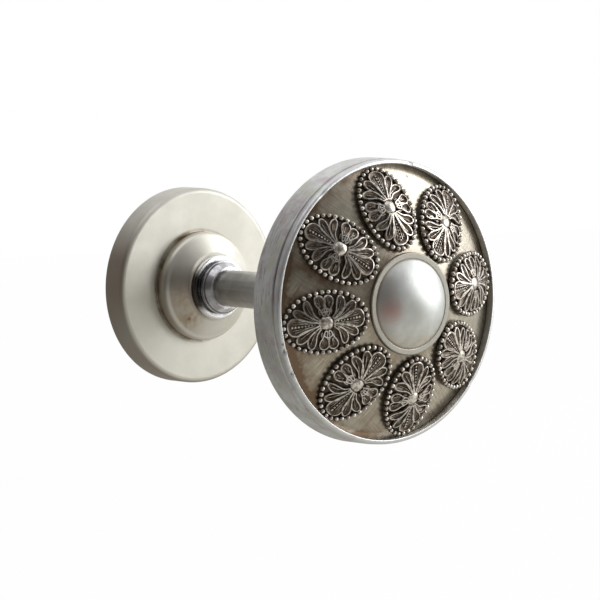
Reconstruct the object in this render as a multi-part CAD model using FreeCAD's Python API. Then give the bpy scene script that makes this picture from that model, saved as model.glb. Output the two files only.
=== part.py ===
import FreeCAD, Part
import math
import os

# Curtain holdback: a round head on a post that stands out of a wall rose.
# Millimetres. The origin is the centre of the back, on the wall plane Y = 0.
# The post runs along -Y into the room and +Z is up.
# Every turned piece is drawn as (radius, distance from the wall) and spun about Y.

Vec = FreeCAD.Vector
ORIGIN = Vec(0, 0, 0)
WALLWARD = Vec(0, 1, 0)

# hidden mounting strap, the stud it carries, and the nuts on both studs
STRAP_END_CLEARANCE = 5.7
STRAP_WIDTH = 20.0
STRAP_THICKNESS = 2.0
SCREW_HOLE_INSET = 8.0
SCREW_HOLE_RADIUS = 2.25
STUD_RADIUS = 3.0
NUT_ACROSS_FLATS = 10.0
NUT_THICKNESS = 5.0
NUT_HEADROOM = 0.6
HOLE_CLEARANCE = 0.2
THREAD_CLEARANCE = 0.05

# wall rose, a hollow disc with a bell-shaped boss in the middle
ROSE_RADIUS = 32.1
ROSE_WALL = 1.4
ROSE_EDGE_ROUND = 1.7
BELL_RADIUS = 17.8
BELL_SIDE = 2.9
BELL_SHOULDER = 1.8
BELL_SHOULDER_TURN = 55.0
BELL_RISE = 9.2
BELL_NECK_ROUND = 1.6

# polished collar between the rose and the post
COLLAR_WALL = 0.65
COLLAR_COVE_DEPTH = 0.8
COLLAR_COVE_HEIGHT = 1.3
COLLAR_RING_STEP = 2.0
COLLAR_RING_HEIGHT = 0.5
COLLAR_CONE_HEIGHT = 2.9
COLLAR_BEAD_STEP = 2.0
COLLAR_BEAD_HEIGHT = 1.8

# post, a bar tapped at both ends
POST_RADIUS = 6.0
POST_LENGTH = 74.8
STUD_IN_POST = 10.0
TAP_SPARE = 2.0

# head: a cup with a stepped side and a raised lip round its mouth
HEAD_RADIUS = 45.0
HEAD_DEPTH = 12.2
HEAD_FLOOR = 1.5
HEAD_WALL = 1.6
LEDGE_WIDTH = 1.6
LIP_HEIGHT = 2.7
LIP_STEP = 0.4
LIP_ROUND = 0.7

# coned face plate that lies on the ledge inside the head
FACE_SLOPE = 24.0
FACE_EDGE_RECESS = 2.6
FACE_THICKNESS = 0.8
FACE_EDGE_CLEARANCE = 0.15

# domed boss that closes the middle of the face
BOSS_RADIUS = 16.1
BOSS_FLANGE = 1.1
BOSS_RIM = 2.1
DOME_HEIGHT = 5.0
BOSS_TAP_DEPTH = 4.5

# oval medallions, laid on the cone with their long sides along the slope
MEDALLIONS = 8
MEDALLION_CLOCK = 99.0
MEDALLION_BOSS_GAP = 0.3
MEDALLION_LIP_GAP = 0.7
MEDALLION_SIDE_GAP = 2.0
MEDALLION_PLATE = 0.55
BEADS = 36
BEAD_WIDTH = 1.6
BEAD_HEIGHT = 1.0
PETALS = 12
PETAL_SPREAD = 0.8
PETAL_WIDEST = 0.5
PETAL_HEIGHT = 1.2
PETAL_GAP = 0.3
MIDDLE_SIDES = 8
MIDDLE_RADIUS = 2.5
MIDDLE_FOOT = 1.6
MIDDLE_HEIGHT = 2.7

# flats that stand for each small round, and for the dome
ROUND_STEPS = 1
DOME_STEPS = 4

# places and sizes that follow from the ones above
ROSE_HOLLOW_RADIUS = ROSE_RADIUS - ROSE_WALL
ROSE_HOLLOW_DEPTH = STRAP_THICKNESS + NUT_THICKNESS + NUT_HEADROOM
ROSE_DEPTH = ROSE_HOLLOW_DEPTH + ROSE_WALL
ROSE_TOP = ROSE_DEPTH + BELL_RISE
STRAP_LENGTH = 2 * (ROSE_HOLLOW_RADIUS - STRAP_END_CLEARANCE)
SCREW_SPACING = STRAP_LENGTH - 2 * SCREW_HOLE_INSET
COLLAR_HOLE = POST_RADIUS + THREAD_CLEARANCE
COLLAR_TOP_RADIUS = COLLAR_HOLE + COLLAR_WALL
COLLAR_RING_RADIUS = COLLAR_TOP_RADIUS + COLLAR_RING_STEP
COLLAR_COVE_RADIUS = COLLAR_RING_RADIUS - COLLAR_COVE_DEPTH
COLLAR_BEAD_RADIUS = COLLAR_RING_RADIUS + COLLAR_BEAD_STEP
HEAD_BACK = ROSE_TOP + POST_LENGTH
HEAD_FRONT = HEAD_BACK + HEAD_DEPTH
NUT_START = HEAD_BACK + HEAD_FLOOR
LIP_INNER_RADIUS = HEAD_RADIUS - HEAD_WALL
FACE_RADIUS = LIP_INNER_RADIUS - FACE_EDGE_CLEARANCE
FACE_EDGE = HEAD_FRONT - FACE_EDGE_RECESS
SLOPE = math.radians(FACE_SLOPE)
FACE_DROP = FACE_THICKNESS / math.cos(SLOPE)
STUD_HOLE = STUD_RADIUS + HOLE_CLEARANCE
TAPPED_HOLE = STUD_RADIUS + THREAD_CLEARANCE
DOME_RADIUS = BOSS_RADIUS - BOSS_RIM
MEDALLION_START = BOSS_RADIUS + MEDALLION_BOSS_GAP
MEDALLION_END = LIP_INNER_RADIUS - MEDALLION_LIP_GAP
MEDALLION_LENGTH = (MEDALLION_END - MEDALLION_START) / math.cos(SLOPE)
MEDALLION_PITCH = (MEDALLION_START + MEDALLION_END) / 2
MEDALLION_WIDTH = 2 * MEDALLION_PITCH * math.sin(math.pi / MEDALLIONS) - MEDALLION_SIDE_GAP


def face_front(radius):
    """Distance from the wall to the front of the face plate at a radius."""
    return FACE_EDGE + (FACE_RADIUS - radius) * math.tan(SLOPE)


BOSS_SEAT = face_front(BOSS_RADIUS)


def turned(points):
    """A solid spun about the post's axis from (radius, distance from the wall) corners."""
    corners = [Vec(radius, -out, 0) for radius, out in points]
    outline = Part.makePolygon(corners + corners[:1])
    return Part.Face(outline).revolve(ORIGIN, WALLWARD, 360)


def bend(centre, radius, start, end, steps=ROUND_STEPS):
    """Corners along part of a circle in the profile; 0 degrees faces away from the axis, 90 faces the room."""
    corners = []
    for k in range(steps + 1):
        turn = math.radians(start + (end - start) * k / steps)
        corners.append((centre[0] + radius * math.cos(turn), centre[1] + radius * math.sin(turn)))
    return corners


def bar(radius, start, end, x=0.0):
    """A round bar along the post's direction, between two distances from the wall."""
    return Part.makeCylinder(radius, end - start, Vec(x, -start, 0), -WALLWARD)


def prism(corners, direction):
    """A straight-sided solid on a flat outline."""
    return Part.Face(Part.makePolygon(corners + corners[:1])).extrude(direction)


def pyramid(base, crest):
    """A solid whose flat base rises in slopes to one crest."""
    faces = [Part.Face(Part.makePolygon(base + base[:1]))]
    for k, corner in enumerate(base):
        faces.append(Part.Face(Part.makePolygon([corner, base[(k + 1) % len(base)], crest, corner])))
    return Part.Solid(Part.Shell(faces))


def mounting_strap():
    strap = Part.makeBox(STRAP_LENGTH, STRAP_THICKNESS, STRAP_WIDTH,
                         Vec(-STRAP_LENGTH / 2, -STRAP_THICKNESS, -STRAP_WIDTH / 2))
    strap = strap.cut(bar(TAPPED_HOLE, 0, STRAP_THICKNESS))
    for side in (-1, 1):
        strap = strap.cut(bar(SCREW_HOLE_RADIUS, 0, STRAP_THICKNESS, side * SCREW_SPACING / 2))
    return strap


def wall_stud():
    return bar(STUD_RADIUS, 0, ROSE_TOP + STUD_IN_POST)


def head_stud():
    return bar(STUD_RADIUS, HEAD_BACK - STUD_IN_POST, BOSS_SEAT + BOSS_TAP_DEPTH)


def hexagon_nut(start):
    """A plain nut whose back is at a distance from the wall."""
    corner = NUT_ACROSS_FLATS / 2 / math.cos(math.pi / 6)
    ring = []
    for k in range(6):
        turn = k * math.pi / 3
        ring.append(Vec(corner * math.cos(turn), -start, corner * math.sin(turn)))
    return prism(ring, -WALLWARD * NUT_THICKNESS).cut(bar(TAPPED_HOLE, start, start + NUT_THICKNESS))


def stud_nuts():
    """The nut that locks the wall stud to the strap, and the one that holds the head on the post."""
    return Part.makeCompound([hexagon_nut(STRAP_THICKNESS), hexagon_nut(NUT_START)])


def wall_rose():
    shoulder = (BELL_RADIUS - BELL_SHOULDER, ROSE_DEPTH + BELL_SIDE)
    neck = (COLLAR_BEAD_RADIUS + BELL_NECK_ROUND, ROSE_TOP)
    return turned([
        (STUD_HOLE, ROSE_HOLLOW_DEPTH),
        (ROSE_HOLLOW_RADIUS, ROSE_HOLLOW_DEPTH),
        (ROSE_HOLLOW_RADIUS, 0),
        (ROSE_RADIUS, 0),
        *bend((ROSE_RADIUS - ROSE_EDGE_ROUND, ROSE_DEPTH - ROSE_EDGE_ROUND), ROSE_EDGE_ROUND, 0, 90),
        (BELL_RADIUS, ROSE_DEPTH),
        *bend(shoulder, BELL_SHOULDER, 0, BELL_SHOULDER_TURN),
        *bend(neck, BELL_NECK_ROUND, 180 + BELL_SHOULDER_TURN, 180),
        (STUD_HOLE, ROSE_TOP),
    ])


def stem_collar():
    bead = (COLLAR_BEAD_RADIUS - COLLAR_BEAD_HEIGHT / 2, ROSE_TOP + COLLAR_BEAD_HEIGHT / 2)
    bead_top = ROSE_TOP + COLLAR_BEAD_HEIGHT
    cove = bead_top + COLLAR_COVE_HEIGHT
    ring = cove + COLLAR_RING_HEIGHT
    return turned([
        (COLLAR_HOLE, ROSE_TOP),
        *bend(bead, COLLAR_BEAD_HEIGHT / 2, -90, 90, ROUND_STEPS + 1),
        (COLLAR_COVE_RADIUS, bead_top),
        (COLLAR_COVE_RADIUS, cove),
        (COLLAR_RING_RADIUS, cove),
        (COLLAR_RING_RADIUS, ring),
        (COLLAR_TOP_RADIUS, ring + COLLAR_CONE_HEIGHT),
        (COLLAR_HOLE, ring + COLLAR_CONE_HEIGHT),
    ])


def post():
    tap = STUD_IN_POST + TAP_SPARE
    stock = bar(POST_RADIUS, ROSE_TOP, HEAD_BACK)
    stock = stock.cut(bar(TAPPED_HOLE, ROSE_TOP, ROSE_TOP + tap))
    return stock.cut(bar(TAPPED_HOLE, HEAD_BACK - tap, HEAD_BACK))


def head_pan():
    lip_start = HEAD_FRONT - LIP_HEIGHT
    lip_radius = HEAD_RADIUS - LIP_STEP
    ledge = FACE_EDGE - FACE_DROP
    return turned([
        (STUD_HOLE, HEAD_BACK),
        (HEAD_RADIUS, HEAD_BACK),
        (HEAD_RADIUS, lip_start - LIP_STEP),
        (lip_radius, lip_start),
        *bend((lip_radius - LIP_ROUND, HEAD_FRONT - LIP_ROUND), LIP_ROUND, 0, 90),
        (LIP_INNER_RADIUS, HEAD_FRONT),
        (LIP_INNER_RADIUS, ledge),
        (LIP_INNER_RADIUS - LEDGE_WIDTH, ledge),
        (LIP_INNER_RADIUS - LEDGE_WIDTH, NUT_START),
        (STUD_HOLE, NUT_START),
    ])


def face_plate():
    return turned([
        (STUD_HOLE, BOSS_SEAT),
        (BOSS_RADIUS, BOSS_SEAT),
        (FACE_RADIUS, FACE_EDGE),
        (FACE_RADIUS, FACE_EDGE - FACE_DROP),
        (BOSS_RADIUS, BOSS_SEAT - FACE_DROP),
        (STUD_HOLE, BOSS_SEAT - FACE_DROP),
    ])


def centre_boss():
    ball = (DOME_RADIUS ** 2 + DOME_HEIGHT ** 2) / (2 * DOME_HEIGHT)
    foot = math.degrees(math.acos(DOME_RADIUS / ball))
    flange = BOSS_SEAT + BOSS_FLANGE
    body = turned([
        (0, BOSS_SEAT),
        (BOSS_RADIUS, BOSS_SEAT),
        (BOSS_RADIUS, flange),
        *bend((0, flange + DOME_HEIGHT - ball), ball, foot, 90, DOME_STEPS),
    ])
    return body.cut(bar(TAPPED_HOLE, BOSS_SEAT, BOSS_SEAT + BOSS_TAP_DEPTH))


def on_oval(inset, turn, height=0.0):
    """A point on the medallion's oval, drawn in by a distance, at a turn about its middle."""
    x = (MEDALLION_LENGTH / 2 - inset) * math.cos(turn)
    y = (MEDALLION_WIDTH / 2 - inset) * math.sin(turn)
    return Vec(x, y, height)


def bead(turn, step):
    """One bead of the border, which fills its own stretch of the rim."""
    corners = ((0, -1), (0, 1), (BEAD_WIDTH, 1), (BEAD_WIDTH, -1))
    base = [on_oval(inset, turn + side * step / 2, MEDALLION_PLATE) for inset, side in corners]
    return pyramid(base, on_oval(BEAD_WIDTH / 2, turn, MEDALLION_PLATE + BEAD_HEIGHT))


def petal(turn, step):
    """One leaf between the domed middle and the border."""
    reach = MIDDLE_RADIUS + PETAL_GAP
    foot = Vec(reach * math.cos(turn), reach * math.sin(turn), MEDALLION_PLATE)
    tip = on_oval(BEAD_WIDTH + PETAL_GAP, turn, MEDALLION_PLATE)
    ridge = foot + (tip - foot) * PETAL_WIDEST
    across = Vec(foot.y - tip.y, tip.x - foot.x, 0).normalize()
    half = math.hypot(ridge.x, ridge.y) * math.tan(step / 2) * PETAL_SPREAD
    return pyramid([foot, ridge - across * half, tip, ridge + across * half], ridge + Vec(0, 0, PETAL_HEIGHT))


def medallion_middle():
    """The raised middle of a medallion: a short foot under a low cap."""
    ring = []
    for k in range(MIDDLE_SIDES):
        turn = 2 * math.pi * (k + 0.5) / MIDDLE_SIDES
        ring.append(Vec(MIDDLE_RADIUS * math.cos(turn), MIDDLE_RADIUS * math.sin(turn), MEDALLION_PLATE))
    lift = Vec(0, 0, MIDDLE_FOOT)
    cap = pyramid([corner + lift for corner in ring], Vec(0, 0, MEDALLION_PLATE + MIDDLE_HEIGHT))
    return prism(ring, lift).fuse(cap)


def flat_medallion():
    """One medallion lying flat: an oval plate with a beaded border, petals and a raised middle."""
    step = 2 * math.pi / BEADS
    outline = [on_oval(0, (k + 0.5) * step) for k in range(BEADS)]
    plate = prism(outline, Vec(0, 0, MEDALLION_PLATE))
    relief = [bead(k * step, step) for k in range(BEADS)]
    step = 2 * math.pi / PETALS
    relief += [petal(k * step, step) for k in range(PETALS)]
    relief.append(medallion_middle())
    return plate.multiFuse(relief).removeSplitter()


def seated_medallion(flat, number):
    """A copy of the flat medallion on the cone, its long side along the slope."""
    clock = math.radians(MEDALLION_CLOCK) - 2 * math.pi * number / MEDALLIONS
    out = Vec(math.cos(clock), 0, math.sin(clock))
    along = out * math.cos(SLOPE) + WALLWARD * math.sin(SLOPE)
    up = out * math.sin(SLOPE) - WALLWARD * math.cos(SLOPE)
    seated = flat.copy()
    seated.Placement = FreeCAD.Placement(
        out * MEDALLION_PITCH - WALLWARD * face_front(MEDALLION_PITCH),
        FreeCAD.Rotation(along, up.cross(along), up, "ZXY"))
    return seated


def save(name, shape):
    shape.exportStep(os.path.join("parts", name + ".step"))
    print(name, len(shape.Solids), "solid", round(shape.Volume, 1), "mm3, valid", shape.isValid())


os.makedirs("parts", exist_ok=True)
save("mounting_strap", mounting_strap())
save("wall_stud", wall_stud())
save("stud_nuts", stud_nuts())
save("wall_rose", wall_rose())
save("stem_collar", stem_collar())
save("post", post())
save("head_stud", head_stud())
save("head_pan", head_pan())
save("face_plate", face_plate())
save("centre_boss", centre_boss())
flat = flat_medallion()
for number in range(MEDALLIONS):
    save("medallion_" + str(number + 1), seated_medallion(flat, number))
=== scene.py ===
# %% [markdown]
# # Dressing a curtain holdback
# A holdback is a round head on a short post that stands out of the wall, and a curtain is swept
# behind it. This one is old silvered metal: a satin wall rose with a bell in its middle, a
# polished collar, a plain post, and a wide head with eight beaded filigree ovals round a domed
# boss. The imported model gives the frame. It stays where it is, and every new piece takes its place
# from the same sizes, so nothing has to be fitted by eye.

# %% Load the frame
import math
import random

import bmesh
import bpy
from mathutils import Matrix, Vector


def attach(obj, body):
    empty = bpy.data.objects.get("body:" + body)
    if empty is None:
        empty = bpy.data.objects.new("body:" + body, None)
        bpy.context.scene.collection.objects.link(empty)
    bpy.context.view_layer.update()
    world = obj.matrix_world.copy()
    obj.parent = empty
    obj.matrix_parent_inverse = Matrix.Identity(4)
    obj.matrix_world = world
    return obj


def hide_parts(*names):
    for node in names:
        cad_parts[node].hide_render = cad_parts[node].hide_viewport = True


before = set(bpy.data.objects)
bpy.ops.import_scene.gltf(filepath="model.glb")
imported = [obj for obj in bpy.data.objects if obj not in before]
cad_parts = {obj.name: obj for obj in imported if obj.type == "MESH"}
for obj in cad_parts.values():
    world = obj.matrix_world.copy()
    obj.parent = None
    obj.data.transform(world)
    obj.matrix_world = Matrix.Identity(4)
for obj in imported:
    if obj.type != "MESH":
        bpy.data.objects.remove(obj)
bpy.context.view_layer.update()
MM = 0.001
print("nodes:", len(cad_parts))

# %% [markdown]
# ## One way to write shader maths
# A finish is easier to read as a sum than as a chain of boxes. The small class below wraps the
# socket of a node, and the usual signs add the Math nodes behind it. Anything else comes from
# `node`, which takes the node's type, its settings, and what goes into its sockets.

# %% Sockets that can be added and multiplied
class Value:
    """A number, colour or vector that changes over a surface."""

    def __init__(self, finish, socket):
        self.finish = finish
        self.socket = socket

    def maths(self, operation, *inputs):
        return self.finish.node("ShaderNodeMath", {"operation": operation}, dict(enumerate(inputs)))

    def __add__(self, other):
        return self.maths("ADD", self, other)

    def __sub__(self, other):
        return self.maths("SUBTRACT", self, other)

    def __rsub__(self, other):
        return self.maths("SUBTRACT", other, self)

    def __mul__(self, other):
        return self.maths("MULTIPLY", self, other)

    def __truediv__(self, other):
        return self.maths("DIVIDE", self, other)

    def __pow__(self, other):
        return self.maths("POWER", self, other)

    def __neg__(self):
        return self.maths("MULTIPLY", self, -1)

    __radd__ = __add__
    __rmul__ = __mul__

    def clipped(self):
        """The value kept between 0 and 1."""
        return self.maths("MINIMUM", self.maths("MAXIMUM", self, 0.0), 1.0)

    def off(self, centre):
        """How far the value is from a centre, to either side."""
        return self.maths("ABSOLUTE", self - centre)


print("values ready")

# %% The nodes of a finish
class Finish:
    """The nodes of a new material, or of the world, made one call at a time."""

    def __init__(self, owner):
        self.owner = owner
        self.owner.use_nodes = True
        self.tree = self.owner.node_tree
        self.shader = self.tree.nodes.get("Principled BSDF")

    def join(self, value, socket):
        if isinstance(value, Value):
            self.tree.links.new(value.socket, socket)
        else:
            socket.default_value = value

    def node(self, kind, settings=None, inputs=None, output=0):
        made = self.tree.nodes.new(kind)
        for name, value in (settings or {}).items():
            if name == "stops":
                self.set_stops(made.color_ramp.elements, value)
            else:
                setattr(made, name, value)
        for name, value in (inputs or {}).items():
            self.join(value, made.inputs[name])
        return Value(self, made.outputs[output])

    def set_stops(self, elements, stops):
        while len(elements) < len(stops):
            elements.new(0.5)
        for element, (place, colour) in zip(elements, stops):
            element.position = place
            element.color = (*colour, 1.0)

    def place(self, stretch=(1, 1, 1), turn=(0, 0, 0)):
        """Where a point lies on the piece, in metres, with the pattern stretched, then turned."""
        here = self.node("ShaderNodeTexCoord", output="Object")
        inputs = {"Vector": here, "Scale": stretch, "Rotation": turn}
        return self.node("ShaderNodeMapping", {"vector_type": "TEXTURE"}, inputs)

    def apart(self):
        """The X, Y and Z of a point as three values, in metres."""
        place = self.place()
        return [self.node("ShaderNodeSeparateXYZ", {}, {"Vector": place}, output=k)
                for k in range(3)]

    def where(self):
        """Millimetres from the post's axis, from the wall, to the right and up."""
        x, y, z = self.apart()
        return (x * x + z * z) ** 0.5 / MM, y / -MM, x / MM, z / MM

    def clock(self):
        """The angle round the post in radians, with 0 at the right."""
        x, y, z = self.apart()
        return z.maths("ARCTAN2", z, x)

    def near(self, spot, reach):
        """1 at a spot on the piece, given in millimetres, falling to 0 at a reach."""
        centre = tuple(side * MM for side in spot)
        here = self.node("ShaderNodeTexCoord", output="Object")
        away = self.node("ShaderNodeVectorMath", {"operation": "DISTANCE"},
                         {0: here, 1: centre}, output="Value")
        return 1 - self.step(away, 0.0, reach * MM)

    def noise(self, size, stretch=(1, 1, 1), turn=(0, 0, 0), detail=3.0, rough=0.55):
        """Soft cloudy noise from 0 to 1, with patches of about this size in millimetres."""
        return self.node("ShaderNodeTexNoise", {}, {
            "Vector": self.place(stretch, turn), "Scale": 1 / (size * MM),
            "Detail": detail, "Roughness": rough})

    def rings(self, along, scale, detail=2.0):
        """Turning marks: noise that changes only along one value."""
        return self.node("ShaderNodeTexNoise", {"noise_dimensions": "1D"},
                         {"W": along, "Scale": scale, "Detail": detail})

    def step(self, value, low, high):
        """0 below one value and 1 above another, with a soft rise between them."""
        return self.node("ShaderNodeMapRange", {"interpolation_type": "SMOOTHSTEP"},
                         {"Value": value, "From Min": low, "From Max": high})

    def between(self, value, rise, fall):
        """1 between a rise and a fall, each given by the values where it starts and ends."""
        return self.step(value, *rise) * (1 - self.step(value, *fall))

    def ramp(self, value, *stops):
        """A colour picked by a value, from (place, colour) stops."""
        return self.node("ShaderNodeValToRGB", {"stops": stops}, {"Fac": value})

    def blend(self, amount, one, other):
        """One colour turning into another."""
        ends = [(*end, 1.0) if isinstance(end, tuple) else end for end in (one, other)]
        return self.node("ShaderNodeMix", {"data_type": "RGBA", "blend_type": "MIX"},
                         {0: amount, 6: ends[0], 7: ends[1]}, output=2)

    def bump(self, height, depth):
        """A surface lifted by a value, with the depth of a full step in millimetres."""
        return self.node("ShaderNodeBump", {}, {"Height": height, "Distance": depth * MM})

    def seen(self):
        """1 for what the camera, a mirror or glass sees, and 0 for the light on other surfaces."""
        rays = [self.node("ShaderNodeLightPath", output=name)
                for name in ("Is Camera Ray", "Is Glossy Ray", "Is Transmission Ray")]
        return (rays[0] + rays[1] + rays[2]).clipped()

    def show(self, shader):
        """Gives the surface another shader than its first one."""
        self.join(shader, self.tree.nodes["Material Output"].inputs["Surface"])
        return self.owner

    def paint(self, **sockets):
        """Sets the shader's own sockets, by name with _ for a space."""
        for name, value in sockets.items():
            value = (*value, 1.0) if isinstance(value, tuple) else value
            self.join(value, self.shader.inputs[name.replace("_", " ")])
        return self.owner


def new_finish(name):
    return Finish(bpy.data.materials.new(name))


print("shader helpers ready")

# %% [markdown]
# ## Turned pieces
# Nearly all of a holdback comes off a lathe or a spinning chuck, so nearly all of it is a section
# spun about the post. The section is drawn as one flat face, because the bevel operator rounds the
# corners of a face, and only its outline is spun. A Weighted Normal modifier then keeps the wide
# flats flat beside the small rounds.

# %% Spin a section
ROUND_SEGMENTS = 5
FULL_TURN = 2 * math.pi
ON_AXIS = 1e-9
WELD = 1e-7


def spot(radius, out):
    """A point of a section, from its distance off the post's axis and off the wall in mm."""
    return Vector((radius * MM, -out * MM, 0))


def round_corners(bm, corners, rounds):
    """Rounds picked corners of the section; rounds maps a width in mm to corner numbers."""
    for width, picks in rounds.items():
        bmesh.ops.bevel(bm, geom=[corners[k] for k in picks], offset=width * MM,
                        offset_type="OFFSET", segments=ROUND_SEGMENTS, profile=0.5,
                        affect="VERTICES", material=-1)


def spin_outline(bm, steps):
    """Spins the outline of the section round the post and closes the surface."""
    bmesh.ops.delete(bm, geom=bm.faces[:], context="FACES_ONLY")
    on_axis = [edge for edge in bm.edges if all(abs(vert.co.x) < ON_AXIS for vert in edge.verts)]
    bmesh.ops.delete(bm, geom=on_axis, context="EDGES")
    bmesh.ops.spin(bm, geom=bm.verts[:] + bm.edges[:], cent=(0, 0, 0), axis=(0, 1, 0),
                   angle=FULL_TURN, steps=steps, use_merge=True, use_duplicate=False)
    bmesh.ops.remove_doubles(bm, verts=bm.verts[:], dist=WELD)
    bmesh.ops.recalc_face_normals(bm, faces=bm.faces[:])


def section_mesh(section, rounds, steps):
    bm = bmesh.new()
    corners = [bm.verts.new(spot(*corner)) for corner in section]
    bm.faces.new(corners)
    round_corners(bm, corners, rounds)
    spin_outline(bm, steps)
    return bm


print("sections can be spun")


# %% Finish a piece
def finish_piece(name, bm, material, node, crease=38):
    """Turns a bmesh into a piece that stands for a node of the frame."""
    mesh = bpy.data.meshes.new(name)
    bm.to_mesh(mesh)
    bm.free()
    mesh.shade_smooth()
    mesh.set_sharp_from_angle(angle=math.radians(crease))
    mesh.materials.append(material)
    piece = bpy.data.objects.new(name, mesh)
    bpy.context.scene.collection.objects.link(piece)
    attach(piece, "root")
    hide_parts(node)
    print(name, len(mesh.polygons), "faces")
    return piece


def keep_flats(piece):
    """Leaves wide flats flat next to their rounds."""
    weighted = piece.modifiers.new("flats", "WEIGHTED_NORMAL")
    weighted.weight = 100
    weighted.keep_sharp = True


def lathe(name, section, rounds, steps, material, node):
    """A finished turned piece."""
    piece = finish_piece(name, section_mesh(section, rounds, steps), material, node)
    keep_flats(piece)


print("lathe ready")

# %% [markdown]
# ## Finishes
# The whole piece was silvered and has worn and darkened by use. Each finish starts from one metal
# colour, clouds it with large soft noise, speckles it with small noise, and lifts the surface by a
# few hundredths of a millimetre so that highlights break up as they do on hand-finished metal.
#
# The rose is pearly satin. Brown has gathered round the foot of the bell, deepened there by
# painted shade in the crease, and on the side of the disc, which is also painted darker low down
# as painted shade. The rose is painted darker towards the bottom and on its lower left as painted
# shade, the left of the bell is tarnished and painted darker as painted shade, and a painted
# highlight runs round the bell's shoulder. A pit in the bell has stained the metal below it, and
# the bell is dull where it is touched.

# %% Rose finish
ROSE_RADIUS = 32.1
ROSE_FRONT = 9.0
BELL_FOOT = 17.8
PIT = (-9.4, -15.4, -10.2)
TOUCHED = (-12.0, -15.0, -2.8)
SHADED = (-24.0, -9.0, -12.0)


def worn_satin(finish, light, shade, cloud, grain=0.35):
    """A satin metal colour that drifts between a light and a shaded tone."""
    drift = finish.step(finish.noise(cloud, detail=4.0), 0.35, 0.7)
    fine = finish.noise(grain, detail=2.0)
    return finish.blend((drift * 0.7 + fine * 0.3).clipped(), shade, light)


def rose_finish():
    finish = new_finish("rose_satin")
    radius, out, right, up = finish.where()
    colour = worn_satin(finish, (0.84, 0.82, 0.745), (0.70, 0.68, 0.61), cloud=12.0)

    # The seam round the bell's foot is a brown deposit in the joint, deepened by painted shade in
    # the crease.
    seam_deposit_and_shade = (1 - finish.step(radius.off(BELL_FOOT), 0.1, 1.6)) * finish.between(
        out, (ROSE_FRONT - 0.6, ROSE_FRONT - 0.3), (ROSE_FRONT + 0.8, ROSE_FRONT + 2.6))
    patches = finish.step(finish.noise(5.0), 0.38, 0.62)
    colour = finish.blend((seam_deposit_and_shade * (0.5 + 0.5 * patches)).clipped(), colour, (0.16, 0.105, 0.05))
    # The side of the disc is painted browner and darker, fading out towards the top: its own brown
    # tone, deepened by painted shade.
    side = finish.step(radius, ROSE_RADIUS - 1.1, ROSE_RADIUS - 0.2)
    side = side * (1 - finish.step(up, 8.0, 24.0))
    colour = finish.blend(side * 0.85, colour, (0.27, 0.205, 0.155))
    # Painted shade: the rose is darker towards the bottom and round a spot on its lower left.
    low = (1 - finish.step(up, -30.0, 2.0)) * 0.28 + finish.near(SHADED, 15.0) * 0.5
    colour = finish.blend(low.clipped(), colour, (0.50, 0.49, 0.44))

    pit = finish.near(PIT, 1.1)
    stain = finish.near(PIT, 6.5) * finish.step(finish.noise(1.5, stretch=(1, 1, 2)), 0.35, 0.6)
    colour = finish.blend((stain * 0.75).clipped(), colour, (0.45, 0.28, 0.11))
    colour = finish.blend(pit * 0.9, colour, (0.08, 0.045, 0.02))

    bell = 1 - finish.step(radius, BELL_FOOT + 0.1, BELL_FOOT + 0.7)
    # The left of the bell is tarnished and painted darker: brown tarnish with painted shade on the
    # side away from the lamp.
    left = finish.step(-right, -2.0, 15.0) * (1 - 0.75 * finish.step(up, 2.0, 9.0))
    tarnish_and_shade = bell * left * (0.38 + 0.42 * finish.noise(3.0, stretch=(1, 1, 4)))
    colour = finish.blend(tarnish_and_shade, colour, (0.27, 0.215, 0.165))
    dull = finish.near(TOUCHED, 6.5) * (0.2 + 0.5 * finish.step(finish.noise(1.6), 0.35, 0.65))
    colour = finish.blend(dull, colour, (0.36, 0.25, 0.17))
    # A painted highlight round the bell's shoulder.
    shoulder_highlight = finish.between(radius, (16.0, 16.6), (17.1, 17.6)) * finish.step(out, 12.5, 13.0)
    colour = finish.blend(shoulder_highlight * 0.5, colour, (0.80, 0.78, 0.72))

    pores = finish.noise(0.5, detail=4.0)
    return finish.paint(Base_Color=colour, Metallic=0.5 + 0.4 * bell,
                        Roughness=0.40 + 0.12 * pores - 0.12 * bell,
                        Normal=finish.bump(pores - 0.9 * pit, 0.03))


rose_satin = rose_finish()
print(rose_satin.name)

# %% [markdown]
# The collar is the one bright-polished piece. It has little roughness and faint turning marks that
# stretch its reflections round the axis. Its bead is satin like the bell. The cove and the groove
# behind the fine ring are darker, and the left side, most of all the bead, is painted nearly black
# as painted shade.

# %% Collar finish
def collar_finish():
    finish = new_finish("collar_polish")
    radius, out, right, up = finish.where()
    streaks = finish.step(finish.noise(2.6, stretch=(1, 3, 1), detail=2.0), 0.35, 0.68)
    polish = finish.blend(streaks, (0.50, 0.49, 0.51), (0.80, 0.80, 0.84))
    bead = finish.step(radius, 9.0, 9.7)
    colour = finish.blend(bead, polish, (0.74, 0.73, 0.72))

    # Painted shade: the left side is painted nearly black, most of all on the bead.
    left = finish.step(-right, 2.5, 6.5) * finish.between(up, (-8.5, -5.0), (3.0, 6.5))
    colour = finish.blend(left * (0.85 * bead + 0.25), colour, (0.075, 0.065, 0.06))
    # The cove and the groove behind the fine ring are made darker.
    cove = (1 - finish.step(radius, 8.2, 9.4)) * finish.between(out, (19.2, 19.9), (21.0, 21.25))
    undercut = finish.between(out, (21.78, 21.9), (22.15, 22.4))
    dark_cove_and_groove = (cove * 0.7 + undercut * 0.75).clipped()
    colour = finish.blend(dark_cove_and_groove, colour, (0.08, 0.07, 0.065))
    return finish.paint(Base_Color=colour, Metallic=1.0,
                        Roughness=0.12 + 0.08 * streaks + 0.10 * bead,
                        Normal=finish.bump(finish.rings(out + radius, 2.5), 0.004))


collar_polish = collar_finish()
print(collar_polish.name)

# %% [markdown]
# The post is drawn bar, so its fine lines run along it. It is darker in patches near the collar,
# and underneath it is painted darker and warmer as painted shade.

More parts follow.
